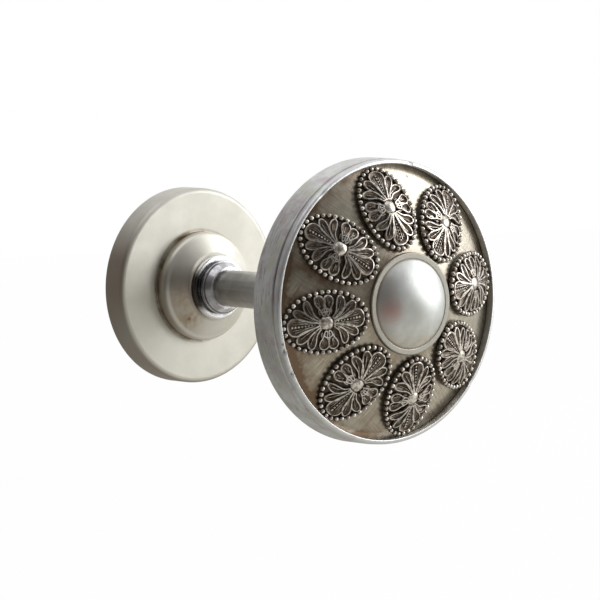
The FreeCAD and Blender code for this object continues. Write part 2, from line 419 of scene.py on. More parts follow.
# %% Post finish
def post_finish():
    finish = new_finish("post_satin")
    radius, out, right, up = finish.where()
    drawn = finish.noise(1.0, stretch=(1, 40, 1), detail=2.0)
    colour = finish.blend(finish.step(drawn, 0.3, 0.7), (0.49, 0.48, 0.46), (0.60, 0.605, 0.59))
    patches = finish.step(finish.noise(4.0), 0.4, 0.6)
    # Darker in patches near the collar.
    darker_near_collar = (1 - finish.step(out, 25.0, 52.0)) * (0.35 + 0.25 * patches)
    colour = finish.blend(darker_near_collar, colour, (0.17, 0.165, 0.155))
    # Painted shade: darker and warmer underneath.
    painted_shade_below = 1 - finish.step(up, -4.0, 0.5)
    colour = finish.blend(painted_shade_below * 0.35, colour, (0.34, 0.285, 0.27))
    rings = finish.rings(out, 6.0, detail=4.0)
    return finish.paint(Base_Color=colour, Metallic=0.95, Roughness=0.26 + 0.10 * rings,
                        Normal=finish.bump(rings, 0.006))


post_satin = post_finish()
print(post_satin.name)

# %% [markdown]
# The strap, studs and nuts inside are plain zinc-plated steel. A stud's thread is too fine to
# model, so it is a spiral in the bump: one ridge for each millimetre, shifted by the clock angle.

# %% Hardware finish
THREAD_PITCH = 1.0


def hardware_finish():
    finish = new_finish("plain_steel")
    radius, out, right, up = finish.where()
    on_stud = finish.between(radius, (2.9, 2.99), (3.01, 3.04))
    spiral = finish.clock() / FULL_TURN - out / THREAD_PITCH
    thread = spiral.maths("PINGPONG", spiral, 0.5)
    cloud = finish.noise(3.0)
    colour = finish.blend(cloud, (0.50, 0.51, 0.53), (0.38, 0.38, 0.38))
    return finish.paint(Base_Color=colour, Metallic=1.0, Roughness=0.32 + 0.16 * cloud,
                        Normal=finish.bump(thread * on_stud, 0.6))


plain_steel = hardware_finish()
print(plain_steel.name)

# %% [markdown]
# The head's band has been handled: dark scuffs run round it, its silver has faint pink and green
# stains, and small pits have opened in the plating. The groove behind the lip is painted dark as
# painted shade, most of all higher up. The lip is painted lighter and bluer, partly rubbed bright
# and partly a painted highlight, and its crest is painted darker as painted shade to tone down the
# lamp's highlight. Nicks at a few clock angles have gone through to dark metal. The flat back
# only has turning marks.
#
# A scuff follows the band, so its noise is laid on the unrolled band: the clock angle as a length
# one way and the distance from the wall the other, with the first one squeezed to make streaks.

# %% Head finish
HEAD_RADIUS = 45.0
LIP_START = 102.5
LIP_CREST = (44.3, 105.1)
NICKS = [(78.2, 1.4), (194.6, 0.8), (197.5, 1.2), (207.6, 1.1)]
STREAK_SQUEEZE = 0.12
PIT_SPACING = 2.6


def on_head(clock, radius, out):
    """A point of the head in millimetres, from its clock angle in degrees, seen from the room."""
    turn = math.radians(clock)
    return Vector((radius * math.cos(turn), -out, radius * math.sin(turn)))


def head_scuffs(finish, radius, out):
    """Dark streaks round the band, gathered in clumps."""
    unrolled = finish.node("ShaderNodeCombineXYZ", {}, {
        "X": finish.clock() * HEAD_RADIUS * STREAK_SQUEEZE, "Y": out, "Z": 0.0})
    streaks = finish.node("ShaderNodeTexNoise", {}, {
        "Vector": unrolled, "Scale": 1.3, "Detail": 5.0, "Roughness": 0.7})
    clumps = finish.step(finish.noise(13.0, detail=1.0), 0.42, 0.60)
    on_band = finish.step(radius, HEAD_RADIUS - 1.0, HEAD_RADIUS - 0.8)
    return finish.step(streaks, 0.50, 0.66) * (0.35 + 0.65 * clumps) * on_band


def head_pits(finish):
    """Small round pits, in the places where the plating has failed."""
    cells = finish.node("ShaderNodeTexVoronoi", {}, {
        "Vector": finish.place(), "Scale": 1 / (PIT_SPACING * MM)})
    failed = finish.step(finish.noise(6.0, detail=1.0), 0.55, 0.66)
    return (1 - finish.step(cells, 0.05, 0.13)) * failed


def head_finish():
    finish = new_finish("head_satin")
    radius, out, right, up = finish.where()
    colour = worn_satin(finish, (0.80, 0.805, 0.80), (0.60, 0.595, 0.58), cloud=8.0)
    band = finish.step(radius, 43.4, 44.6)
    tint = finish.noise(6.0, detail=3.0)
    pink = finish.step(tint, 0.50, 0.66) * (0.1 + 0.5 * band)
    green = (1 - finish.step(tint, 0.32, 0.46)) * (0.1 + 0.4 * band)
    colour = finish.blend(pink, colour, (0.56, 0.47, 0.49))
    colour = finish.blend(green, colour, (0.60, 0.61, 0.45))
    turned = finish.step(finish.rings(radius, 2.2, detail=3.0), 0.40, 0.62) * 0.35 * (1 - band)
    colour = finish.blend(turned, colour, (0.45, 0.445, 0.43))
    colour = finish.blend(head_scuffs(finish, radius, out) * 0.65, colour, (0.26, 0.225, 0.235))

    pits = head_pits(finish)
    # Painted shade in the groove behind the lip, stronger higher up; the pits are real.
    groove_shade = 1 - finish.step(out.off(LIP_START), 0.05, 0.5)
    groove_shade = groove_shade * (0.35 + 0.65 * finish.step(up, -12.0, 10.0))
    colour = finish.blend((pits * 0.75 + groove_shade * 0.65).clipped(), colour, (0.10, 0.11, 0.125))
    # The lip is painted lighter and bluer, partly rubbed bright and partly a painted highlight; its
    # crest is painted darker as painted shade.
    lip_rub_and_highlight = finish.step(out, 103.3, 104.2)
    rim_shade = finish.step(out, 104.3, 105.1) * (1 - finish.step(radius, 43.9, 44.5))
    colour = finish.blend(lip_rub_and_highlight * 0.4, colour, (0.80, 0.83, 0.86))
    colour = finish.blend(rim_shade * 0.4, colour, (0.60, 0.60, 0.61))

    ragged = finish.noise(0.45, stretch=(1, 1, 2.5), detail=3.0)
    for clock, reach in NICKS:
        crest = on_head(clock, *LIP_CREST)
        nick = finish.step(finish.near(crest, reach) + 2.2 * (ragged - 0.5), 0.35, 0.75)
        nick = nick * finish.near(crest, 2 * reach) * 0.75
        colour = finish.blend(nick, colour, (0.06, 0.05, 0.045))
    scratch = finish.noise(0.5, stretch=(5, 1, 5), detail=4.0)
    return finish.paint(Base_Color=colour, Metallic=0.92,
                        Roughness=0.34 + 0.14 * scratch - 0.08 * rim_shade,
                        Normal=finish.bump(scratch - 1.5 * pits, 0.02))


head_satin = head_finish()
print(head_satin.name)

# %% [markdown]
# The cone behind the ovals was brushed and then antiqued. Brush strokes run across it in two
# directions, and a brown wash has stayed in patches, most of all at the rim and by the boss. The
# left side is painted darker, with more of the wash, as painted shade from the dark side of the
# room, and a painted shadow of the lip darkens the rim, most of all on the left.

# %% Face finish
def brush_strokes(finish, size, stretch, degrees):
    return finish.noise(size, stretch=stretch, turn=(0, math.radians(degrees), 0), rough=0.6)


def face_finish():
    finish = new_finish("face_antique")
    radius, out, right, up = finish.where()
    area = finish.step(finish.noise(14.0, detail=1.0), 0.42, 0.58)
    strokes = brush_strokes(finish, 0.36, (1, 12, 22), 38)
    crossing = brush_strokes(finish, 0.4, (1, 12, 18), -52)
    brushed = (strokes * (0.25 + 0.5 * area) + crossing * (0.75 - 0.5 * area)).clipped()
    fresh = finish.step(brushed, 0.36, 0.64)
    colour = finish.blend(fresh, (0.40, 0.355, 0.28), (0.67, 0.625, 0.53))
    green = finish.step(finish.noise(12.0, detail=2.0), 0.44, 0.60)
    colour = finish.blend(green * 0.35, colour, (0.44, 0.45, 0.38))

    # Painted shade: the left side is darker, and the wash is heavier there.
    left = finish.step(-right, -8.0, 34.0) * (1 - 0.6 * finish.step(up, 6.0, 24.0))
    wash_and_left_shade = finish.step(finish.noise(10.0, detail=5.0, rough=0.6), 0.36, 0.66) * (0.3 + 0.75 * left)
    # A painted shadow of the lip at the rim, stronger on the left, with patches of the brown wash.
    rim_shade = ((0.08 + 0.4 * left) * finish.step(radius, 37.5, 42.0)
           + (0.2 + 0.6 * left) * finish.step(radius, 40.2, 42.2))
    patches = finish.step(finish.noise(5.0, detail=4.0, rough=0.6), 0.36, 0.6)
    hub = 1 - finish.step(radius, 16.2, 19.5)
    shade_and_wash = (0.75 * wash_and_left_shade + 0.28 * left + rim_shade * (0.4 + 0.6 * patches) + 0.35 * hub).clipped()
    colour = finish.blend(shade_and_wash, colour, (0.19, 0.13, 0.085))
    mark = finish.near(on_head(78.0, 40.0, 104.1), 1.0)
    colour = finish.blend(mark * 0.8, colour, (0.08, 0.06, 0.05))
    return finish.paint(Base_Color=colour, Metallic=0.9, Roughness=0.23 + 0.14 * brushed,
                        Normal=finish.bump(brushed, 0.03))


face_antique = face_finish()
print(face_antique.name)

# %% [markdown]
# The boss is soft satin. It is painted darker in the middle and on the left as painted shade, and
# warmer at the bottom, where a painted reflection of the table is broken up by smudges. It has one
# reddish bloom. Its flange is darker and warmer.

# %% Boss finish
DOME_FOOT = 14.0
BLOOM = (-9.9, -118.4, -1.4)
DOME_MIDDLE = (-1.0, -120.7, -1.0)


def boss_finish():
    finish = new_finish("boss_satin")
    radius, out, right, up = finish.where()
    colour = worn_satin(finish, (0.715, 0.735, 0.725), (0.595, 0.605, 0.59), cloud=4.5, grain=0.5)
    # Painted shade: darker on the left.
    colour = finish.blend(finish.step(-right, 6.0, 13.0) * 0.55, colour, (0.33, 0.28, 0.25))
    # Painted shade in the middle, which tones down the lamp's reflection there.
    colour = finish.blend(finish.near(DOME_MIDDLE, 9.0) * 0.75, colour, (0.36, 0.37, 0.345))
    flange = finish.step(radius, DOME_FOOT + 0.1, DOME_FOOT + 0.5)
    colour = finish.blend(flange * 0.9, colour, (0.32, 0.305, 0.265))

    # A painted warm reflection of the table at the bottom, broken up by smudges.
    low = (1 - finish.step(up, -12.5, -6.5)) * (1 - flange)
    smudge = finish.step(finish.noise(3.0, detail=4.0, rough=0.6), 0.42, 0.60)
    colour = finish.blend(low * (0.25 + 0.45 * smudge), colour, (0.56, 0.50, 0.38))
    specks = finish.step(finish.noise(0.55, detail=2.0), 0.60, 0.72)
    colour = finish.blend(specks * 0.35, colour, (0.40, 0.39, 0.37))
    foot = 1 - finish.step(radius.off(DOME_FOOT), 0.05, 0.55)
    colour = finish.blend(foot * 0.5, colour, (0.30, 0.23, 0.15))
    colour = finish.blend(finish.near(BLOOM, 6.2) * 0.7, colour, (0.42, 0.22, 0.20))
    grain = finish.noise(0.5, stretch=(1, 1, 3), detail=3.0)
    return finish.paint(Base_Color=colour, Metallic=0.95, Roughness=0.39 + 0.14 * grain,
                        Normal=finish.bump(grain, 0.012))


boss_satin = boss_finish()
print(boss_satin.name)

# %% [markdown]
# The ovals are black with oxide in their hollows and bright on their high points, which is what
# antiquing means: the piece is blackened all over, and a cloth takes the black off whatever stands
# up. Each oval's mesh carries a `worn` value from 0 in the hollows to 1 on the tops.

# %% Oxidised pewter
def pewter_finish():
    finish = new_finish("medallion_pewter")
    worn = finish.node("ShaderNodeAttribute", {"attribute_name": "worn"}, output="Fac")
    grit = finish.noise(0.6, detail=4.0)
    patchy = finish.step(finish.noise(1.4, detail=3.0), 0.36, 0.62)
    rub = (worn * (0.6 + 0.8 * patchy) + 0.4 * (grit - 0.5)).clipped()
    black, brown, bright = (0.045, 0.033, 0.024), (0.27, 0.22, 0.175), (0.81, 0.77, 0.715)
    colour = finish.ramp(rub, (0.0, black), (0.4, brown), (1.0, bright))
    return finish.paint(Base_Color=colour, Metallic=0.88, Roughness=0.45 - 0.17 * rub,
                        Normal=finish.bump(grit, 0.045))


medallion_pewter = pewter_finish()
print(medallion_pewter.name)

# %% [markdown]
# ## The wall rose
# A spun disc, hollow behind so that it hides its fixing, with a rolled edge. The bell in its middle
# has a short upright side, a rounded shoulder, and a slope that flares into the collar's seat.
# Every section below is a list of corners, each a distance from the axis and one from the wall.

# %% Spin the rose
ROSE_HOLLOW = 30.7
ROSE_FLOOR = 7.6
STUD_HOLE = 3.2
COLLAR_SEAT = 18.2
rose_section = [
    (STUD_HOLE, ROSE_FLOOR), (ROSE_HOLLOW, ROSE_FLOOR), (ROSE_HOLLOW, 0.0), (ROSE_RADIUS, 0.0),
    (ROSE_RADIUS, ROSE_FRONT), (BELL_FOOT, ROSE_FRONT), (BELL_FOOT, 12.9), (10.75, 17.3),
    (10.7, COLLAR_SEAT), (STUD_HOLE, COLLAR_SEAT),
]
rose_rounds = {1.7: [4], 0.25: [2, 3, 5], 1.0: [6], 0.85: [7], 0.2: [8]}
lathe("wall_rose_spun", rose_section, rose_rounds, 256, rose_satin, "wall_rose")

# %% [markdown]
# ## The collar and the post
# The collar is a bead, a cove, a fine ring with a groove in front, and a cone, all in the height of
# a fingernail. Its small steps make the thin dark and bright lines that the eye reads as polish.

# %% Spin the collar
COLLAR_HOLE = 6.05
COLLAR_TOP = 24.7
collar_section = [
    (COLLAR_HOLE, COLLAR_SEAT), (10.7, COLLAR_SEAT), (10.7, 20.0), (7.9, 20.0), (7.9, 21.3),
    (8.7, 21.3), (8.7, 21.8), (8.15, 21.95), (8.15, 22.3), (7.0, 24.1), (7.0, COLLAR_TOP),
    (COLLAR_HOLE, COLLAR_TOP),
]
collar_rounds = {0.88: [1, 2], 0.4: [3, 4], 0.18: [5, 6], 0.08: [7, 8], 0.15: [9, 10]}
lathe("stem_collar_polished", collar_section, collar_rounds, 160, collar_polish,
      "stem_collar")

# %% [markdown]
# The post is a plain bar with a tapped hole in each end for a stud. Corners on the axis close the
# holes, because the outline's edge on the axis is taken away before the spin.

# %% Turn the post
POST_RADIUS = 6.0
HEAD_BACK = 93.0
TAPPED_HOLE = 3.05
TAPPED_DEPTH = 12.0
post_section = [
    (0.0, COLLAR_SEAT + TAPPED_DEPTH), (TAPPED_HOLE, COLLAR_SEAT + TAPPED_DEPTH),
    (TAPPED_HOLE, COLLAR_SEAT), (POST_RADIUS, COLLAR_SEAT), (POST_RADIUS, HEAD_BACK),
    (TAPPED_HOLE, HEAD_BACK), (TAPPED_HOLE, HEAD_BACK - TAPPED_DEPTH),
    (0.0, HEAD_BACK - TAPPED_DEPTH),
]
lathe("post_turned", post_section, {0.2: [3, 4]}, 128, post_satin, "post")

# %% [markdown]
# ## The head
# The pan is a cup with a floor, a wall and a ledge for the face. A fine groove runs round it behind
# the lip, which is rolled and a little smaller than the band.

# %% Spin the pan
HEAD_FRONT = 105.2
PAN_FLOOR = 94.5
LIP_RADIUS = 44.85
LIP_INSIDE = 43.4
LEDGE_INSIDE = 41.8
LEDGE = 101.72
pan_section = [
    (STUD_HOLE, HEAD_BACK), (HEAD_RADIUS, HEAD_BACK), (HEAD_RADIUS, LIP_START - 0.45),
    (44.45, LIP_START), (LIP_RADIUS, LIP_START + 0.45), (LIP_RADIUS, HEAD_FRONT),
    (LIP_INSIDE, HEAD_FRONT), (LIP_INSIDE, LEDGE), (LEDGE_INSIDE, LEDGE),
    (LEDGE_INSIDE, PAN_FLOOR), (STUD_HOLE, PAN_FLOOR),
]
pan_rounds = {0.6: [1], 0.15: [2, 3], 0.3: [4], 1.05: [5], 0.28: [6, 9]}
pan = section_mesh(pan_section, pan_rounds, 512)
print("pan", len(pan.faces), "faces before the knocks")

# %% [markdown]
# A lip that sticks out into a room gets knocked. Each knock below moves the points within its reach
# a little way inwards, most at its middle, which is what a hammer or a dropped head does to soft
# metal.

# %% Knock the lip
KNOCKS = [  # clock angle, distance from the axis and from the wall, reach and depth
    (78.2, 44.3, 105.2, 1.1, 0.5), (197.5, 44.4, 105.1, 1.5, 0.35), (207.6, 44.4, 105.0, 1.3, 0.35),
    (128, 44.4, 105.1, 2.6, 0.18), (322, 44.5, 105.0, 2.2, 0.2), (250, 44.4, 105.1, 2.0, 0.15),
]


def knock(bm, centre, reach, depth):
    """Presses the metal near a point in, towards the axis and the wall."""
    inwards = Vector((-centre.x, 0, -centre.z)).normalized() * 0.8 + Vector((0, 0.6, 0))
    for vert in bm.verts:
        away = (vert.co - centre).length / (reach * MM)
        if away < 1:
            vert.co += inwards * depth * MM * (1 - away * away) ** 2


for clock, radius, out, reach, depth in KNOCKS:
    knock(pan, on_head(clock, radius, out) * MM, reach, depth)
pan_piece = finish_piece("head_pan_spun", pan, head_satin, "head_pan")
keep_flats(pan_piece)

# %% [markdown]
# The face is a thin flat-topped cone that lies on the ledge, and the boss stands on its flat. The
# dome is part of a ball, so its corners come from the ball's radius, and its tapped hole is closed
# on the axis as the post's are.

# %% Spin the face and the boss
FACE_RADIUS = 43.25
FACE_EDGE = 102.6
FACE_DROP = 0.88
BOSS_RADIUS = 16.1
BOSS_SEAT = 114.69
DOME_BASE = 115.79
DOME_TOP = 120.78
face_section = [
    (STUD_HOLE, BOSS_SEAT), (BOSS_RADIUS, BOSS_SEAT), (FACE_RADIUS, FACE_EDGE),
    (FACE_RADIUS, FACE_EDGE - FACE_DROP), (BOSS_RADIUS, BOSS_SEAT - FACE_DROP),
    (STUD_HOLE, BOSS_SEAT - FACE_DROP),
]
lathe("face_plate_spun", face_section, {}, 256, face_antique, "face_plate")


def dome_arc(steps):
    """Corners of the dome from its foot to its top."""
    height = DOME_TOP - DOME_BASE
    ball = (DOME_FOOT ** 2 + height ** 2) / (2 * height)
    foot = math.asin(DOME_FOOT / ball)
    turns = [foot * (1 - k / steps) for k in range(steps + 1)]
    return [(ball * math.sin(turn), DOME_TOP - ball + ball * math.cos(turn)) for turn in turns]


boss_section = [
    (0.0, 119.19), (TAPPED_HOLE, 119.19), (TAPPED_HOLE, BOSS_SEAT), (BOSS_RADIUS, BOSS_SEAT),
    (BOSS_RADIUS, DOME_BASE), (14.35, DOME_BASE), (14.1, 115.6), *dome_arc(24),
]
lathe("centre_boss_domed", boss_section, {0.4: [4], 0.1: [5]}, 192, boss_satin,
      "centre_boss")

# %% [markdown]
# ## The filigree ovals
# Each oval is a thin plate with a row of beads round it. Inside, wire loops stand for petals on a
# field that rises to a smooth button: a wide fan at each end of the long axis, a petal of two lobes
# at each end of the short one, and two slim ones in each quarter. They are built flat and once, in
# millimetres, and then set on the cone eight times.

# %% Sizes of an oval
LONG = 14.35
WIDE = 10.3
PLATE = 0.5
PLATE_INSET = 0.5
BEAD = 0.85
BEAD_HEIGHT = 1.0
BEADS = 36
RISE = 1.6
FIELD = (12.45, 8.45)
BUTTON = (2.55, 2.3, 1.3)
WALK_STEPS = 3600


def arc_places(count, long, wide):
    """Points spaced evenly along an oval, by walking it in small steps."""
    turns = [FULL_TURN * k / WALK_STEPS for k in range(WALK_STEPS + 1)]
    walk = [Vector((long * math.cos(turn), wide * math.sin(turn), 0)) for turn in turns]
    steps = [(second - first).length for first, second in zip(walk, walk[1:])]
    gap = sum(steps) / count
    places, gone = [], 0.0
    for place, step in zip(walk, steps):
        if gone >= gap * len(places) and len(places) < count:
            places.append(place)
        gone += step
    return places


print("beads", len(arc_places(BEADS, LONG - BEAD, WIDE - BEAD)))

# %% [markdown]
# Every part of an oval is made on its own and then taken into one mesh. On the way in, each point
# gets its `worn` value: the more it faces out of the plate, the brighter it has been rubbed. The
# plate is a disc of rings, made oval, so that the rings can rise with the field later.

# %% Plate and beads
PART_WELD = 1e-5


def absorb(bm, part, side, top):
    """Adds a part to the oval, with how much its sides and its top are rubbed bright."""
    mesh = bpy.data.meshes.new("part")
    part.to_mesh(mesh)
    part.free()
    layer = bm.verts.layers.float["worn"]
    before = len(bm.verts)
    bm.from_mesh(mesh)
    bpy.data.meshes.remove(mesh)
    bm.verts.ensure_lookup_table()
    bm.normal_update()
    for vert in bm.verts[before:]:
        vert[layer] = side + (top - side) * max(0.0, vert.normal.z)


def oval_plate(bm):
    part = bmesh.new()
    rings = [(0, 0), (0.97, 0)] + [(1 - k / 10, PLATE) for k in range(11)]
    corners = [part.verts.new((radius, 0, height)) for radius, height in rings]
    edges = [part.edges.new(pair) for pair in zip(corners, corners[1:])]
    bmesh.ops.spin(part, geom=corners + edges, cent=(0, 0, 0), axis=(0, 0, 1), angle=FULL_TURN,
                   steps=72, use_merge=True, use_duplicate=False)
    bmesh.ops.remove_doubles(part, verts=part.verts[:], dist=PART_WELD)
    bmesh.ops.recalc_face_normals(part, faces=part.faces[:])
    bmesh.ops.scale(part, vec=(LONG - PLATE_INSET, WIDE - PLATE_INSET, 1), verts=part.verts[:])
    absorb(bm, part, 0.0, 0.05)


def bead(bm, place, radius, side=0.35, top=0.85):
    """A round bead of a few dozen faces."""
    part = bmesh.new()
    bmesh.ops.create_uvsphere(part, u_segments=10, v_segments=6, radius=radius,
                              matrix=Matrix.Translation(place))
    absorb(bm, part, side, top)


print("plate and beads ready")

# %% [markdown]
# A wire is a curve with a round bevel, because a curve stays smooth through a handful of points.
# The points are pressed down before the curve gets its thickness and lifted after it, which makes
# the wire taller than it is wide, as rolled wire on edge is. Its end caps are welded on.

# %% Wire
WIRE = 0.28
WIRE_WELD = 1e-4


def wire_line(points, radius, closed, tall):
    """The curve of a wire, through the points pressed down."""
    line = bpy.data.curves.new("wire", "CURVE")
    line.dimensions = "3D"
    line.bevel_depth = radius
    line.bevel_resolution = 1
    line.resolution_u = 5
    line.use_fill_caps = not closed
    spline = line.splines.new("NURBS")
    spline.points.add(len(points) - 1)
    for point, place in zip(spline.points, points):
        point.co = (place.x, place.y, place.z / tall, 1.0)
    spline.order_u = 4
    spline.use_cyclic_u = closed
    spline.use_endpoint_u = not closed
    return line


def wire(bm, points, radius, closed, side=0.6, top=1.0, tall=1.8):
    """A wire that follows a smooth line near its points."""
    line = wire_line(points, radius, closed, tall)
    carrier = bpy.data.objects.new("wire", line)
    mesh = bpy.data.meshes.new_from_object(carrier)
    part = bmesh.new()
    part.from_mesh(mesh)
    bpy.data.meshes.remove(mesh)
    bmesh.ops.remove_doubles(part, verts=part.verts[:], dist=WIRE_WELD)
    bmesh.ops.scale(part, vec=(1, 1, tall), verts=part.verts[:])
    absorb(bm, part, side, top)
    bpy.data.objects.remove(carrier)
    bpy.data.curves.remove(line)


print("wire ready")

# %% [markdown]
# A petal is a closed loop of wire round a hollow bed. Its outline is a list of pairs: the share of
# the way from root to tip, and half the width there as a share of the whole width. The line that
# it follows can hook to one side or stand aside, and every point of the petal is found from it.

# %% The line of a petal
ROOT = 2.35
SLIM = [(0.0, 0.17), (0.2, 0.16), (0.4, 0.27), (0.58, 0.48), (0.76, 0.58), (0.92, 0.50),
        (1.02, 0.28), (1.05, 0.05)]
FAN = [(0.0, 0.14), (0.2, 0.17), (0.4, 0.30), (0.6, 0.47), (0.78, 0.56), (0.92, 0.50),
       (1.01, 0.30), (1.03, 0.08)]


class Petal:
    """The line of a petal from its root by the button to its tip by the beads, in millimetres."""

    def __init__(self, turn, reach=0.97, hook=0.0, aside=0.0):
        tip = Vector((FIELD[0] * math.cos(turn), FIELD[1] * math.sin(turn), 0)) * reach
        self.along = tip.normalized()
        self.across = Vector((-self.along.y, self.along.x, 0))
        self.root = self.along * ROOT
        self.length = tip.length - ROOT
        self.hook = hook
        self.aside = aside

    def at(self, share, side, height):
        """A point a share of the way along, and so many millimetres off the line."""
        hooked = self.hook * math.sin(math.pi * (0.25 + 0.75 * share))
        bend = hooked + self.aside * min(1.0, 0.35 + share)
        place = self.root + self.along * self.length * share + self.across * (side + bend)
        return place + Vector((0, 0, height))

    def loop(self, outline, width, height):
        left = [self.at(share, half * width, height) for share, half in outline]
        return left + [self.at(share, -half * width, height) for share, half in reversed(outline)]


def half_width(outline, share):
    """Half the width of an outline at a share of its length, read between its pairs."""
    for (start, near), (end, far) in zip(outline, outline[1:]):
        if share <= end:
            return near + (far - near) * (share - start) / (end - start)
    return outline[-1][1]


print("a slim petal is widest at", max(SLIM, key=lambda pair: pair[1])[0], "of its length")

# %% [markdown]
# The bed is a grid with a copy of itself below, bent into the outline and low in its middle, so
# that it is closed all round. Inside the loop lie thin ribs of wire or a row of tiny beads.

# %% Beds, ribs and rows of beads
WIRE_HEIGHT = 0.75
BED_DEPTH = 0.75
BED_LIFT = 0.08
BED_THICKNESS = 0.3
BED_SHARE = 0.93


def scoop(bm, line, outline, width):
    """The hollow bed of a petal."""
    part = bmesh.new()
    bmesh.ops.create_grid(part, x_segments=10, y_segments=6, size=1)
    under = bmesh.ops.extrude_face_region(part, geom=part.faces[:], use_keep_orig=True)["geom"]
    lowered = {vert for vert in under if isinstance(vert, bmesh.types.BMVert)}
    for vert in part.verts:
        share = 0.5 * (vert.co.x + 1) * outline[-1][0]
        side = vert.co.y * half_width(outline, share) * width * BED_SHARE
        up = PLATE + BED_LIFT + BED_DEPTH * max(abs(vert.co.y) ** 2, abs(vert.co.x) ** 6)
        vert.co = line.at(share, side, up - (BED_THICKNESS if vert in lowered else 0.0))
    bmesh.ops.recalc_face_normals(part, faces=part.faces[:])
    absorb(bm, part, 0.65, 0.14)


def edge_and_bed(bm, line, outline, width):
    """One loop of wire and the bed inside it."""
    scoop(bm, line, outline, width)
    wire(bm, line.loop(outline, width, PLATE + WIRE_HEIGHT), WIRE, True)


def rib(bm, line, sides, radius=0.13, first=0.05, last=0.85):
    """A thin wire inside a petal; sides are its distances off the line from root to tip."""
    gaps = len(sides) - 1
    shares = [first + (last - first) * k / gaps for k in range(len(sides))]
    points = [line.at(share, side, PLATE + 0.4) for share, side in zip(shares, sides)]
    wire(bm, points, radius, False, 0.4, 0.75, 1.5)


def bead_row(bm, line, count, radius, first=0.04, last=0.88):
    """A row of tiny beads along a petal, a little larger outwards."""
    for k in range(count):
        share = k / (count - 1)
        place = line.at(first + (last - first) * share, 0, PLATE + 0.5)
        bead(bm, place, radius * (0.8 + 0.4 * share), 0.4, 1.0)


print("beds, ribs and rows ready")

# %% [markdown]
# There are three kinds of petal. Hand-laid wire is never quite true, so a seeded random number
# sways the slim petals and changes their length and width, the same way every time.

# %% The three kinds of petal
SLIM_PETALS = [(35.5, -0.60), (60.5, -1.30)]
CURL_DEGREES = 74.0
LOBE_ASIDE = 1.5
chance = random.Random(7)


def long_petals(bm):
    """The two wide petals on the long axis, with a row of beads between thin wires."""
    for turn in (0, math.pi):
        line = Petal(turn)
        edge_and_bed(bm, line, FAN, 5.1)
        bead_row(bm, line, 9, 0.33)
        for side in (-1, 1):
            rib(bm, line, [side * off for off in (0.35, 0.6, 0.9, 1.0)])
            rib(bm, line, [side * off for off in (0.45, 1.0, 1.55, 1.65)], first=0.3, last=0.8)


def bow(bm, line):
    """A bright arch of wire across a wide petal, with three small beads under it."""
    arch = ((-1.5, 0.18), (-1.2, 0.34), (0.0, 0.42), (1.2, 0.34), (1.5, 0.18))
    wire(bm, [line.at(share, side, PLATE + 0.7) for side, share in arch], 0.3, False, 0.6, 1.3)
    for side in (-0.75, 0.0, 0.75):
        bead(bm, line.at(0.2, side, PLATE + 0.6), 0.33, 0.5, 1.1)


def short_petals(bm):
    """The two wide petals on the short axis, each of two lobes, with a bow near the root."""
    for turn in (math.pi / 2, 3 * math.pi / 2):
        for side in (-1, 1):
            line = Petal(turn, chance.uniform(0.95, 0.99), 0.0, side * LOBE_ASIDE)
            edge_and_bed(bm, line, SLIM, 2.75)
            rib(bm, line, [0.0, 0.0, 0.0], 0.15, 0.45, 0.85)
        bow(bm, Petal(turn))


def slim_petals(bm):
    """Two slim petals and a curl in each quarter; they hook towards the short axis."""
    for quarter in (1, -1):
        for end in (0, math.pi):
            for degrees, hook in SLIM_PETALS:
                reach = chance.uniform(0.92, 0.98)
                hook = quarter * (hook + chance.uniform(-0.2, 0.2))
                line = Petal(end + quarter * math.radians(degrees), reach, hook)
                edge_and_bed(bm, line, SLIM, chance.uniform(2.35, 2.75))
                rib(bm, line, [0.0, 0.0, 0.0, 0.0], 0.14, 0.2, 0.85)
            curl = Petal(end + quarter * math.radians(CURL_DEGREES), 0.9)
            rib(bm, curl, [quarter * off for off in (-0.5, -0.7, 0.1, 0.9, 0.5)], 0.2, 0.15, 0.8)


print("petals ready")

# %% [markdown]
# With all its parts in, the field is domed by lifting every point by its place on the oval. The
# underside does the opposite: it curves down at its sides, so that it lies on the cone.

# %% Build the flat oval
SLOPE = math.radians(24)
PITCH = 29.55


def raise_field(bm):
    """Domes the field, and lets the underside of the plate down onto the cone at its sides."""
    for vert in bm.verts:
        if vert.co.z > 0.01:
            off = (vert.co.x / FIELD[0]) ** 2 + (vert.co.y / FIELD[1]) ** 2
            vert.co.z += RISE * max(0.0, 1 - off)
        else:
            curve = (PITCH + vert.co.x * math.cos(SLOPE)) / math.sin(SLOPE)
            vert.co.z -= vert.co.y ** 2 / (2 * curve)


def button(bm):
    """The smooth button in the middle."""
    part = bmesh.new()
    bmesh.ops.create_uvsphere(part, u_segments=28, v_segments=14, radius=1)
    bmesh.ops.scale(part, vec=BUTTON, verts=part.verts[:])
    bmesh.ops.translate(part, vec=(0, 0, PLATE + RISE + 0.05), verts=part.verts[:])
    absorb(bm, part, 0.45, 0.85)


def flat_oval():
    """The whole oval, flat, in millimetres, its long side along X."""
    bm = bmesh.new()
    bm.verts.layers.float.new("worn")
    oval_plate(bm)
    for place in arc_places(BEADS, LONG - BEAD, WIDE - BEAD):
        wobble = Vector((chance.uniform(-0.08, 0.08), chance.uniform(-0.08, 0.08), BEAD_HEIGHT))
        bead(bm, place + wobble, BEAD * chance.uniform(0.94, 1.03))
    slim_petals(bm)
    long_petals(bm)
    short_petals(bm)
    raise_field(bm)
    button(bm)
    return bm


oval = flat_oval()
print("oval faces", len(oval.faces))

# %% [markdown]
# The cone falls away outwards, so each oval leans with it. Its place is a matrix whose axes run
# along the slope, across it and straight out of it, from millimetres on the flat to metres.

# %% Seat the eight ovals
PITCH_OUT = FACE_EDGE + (FACE_RADIUS - PITCH) * math.tan(SLOPE)
OVALS = 8
FIRST_CLOCK = 99


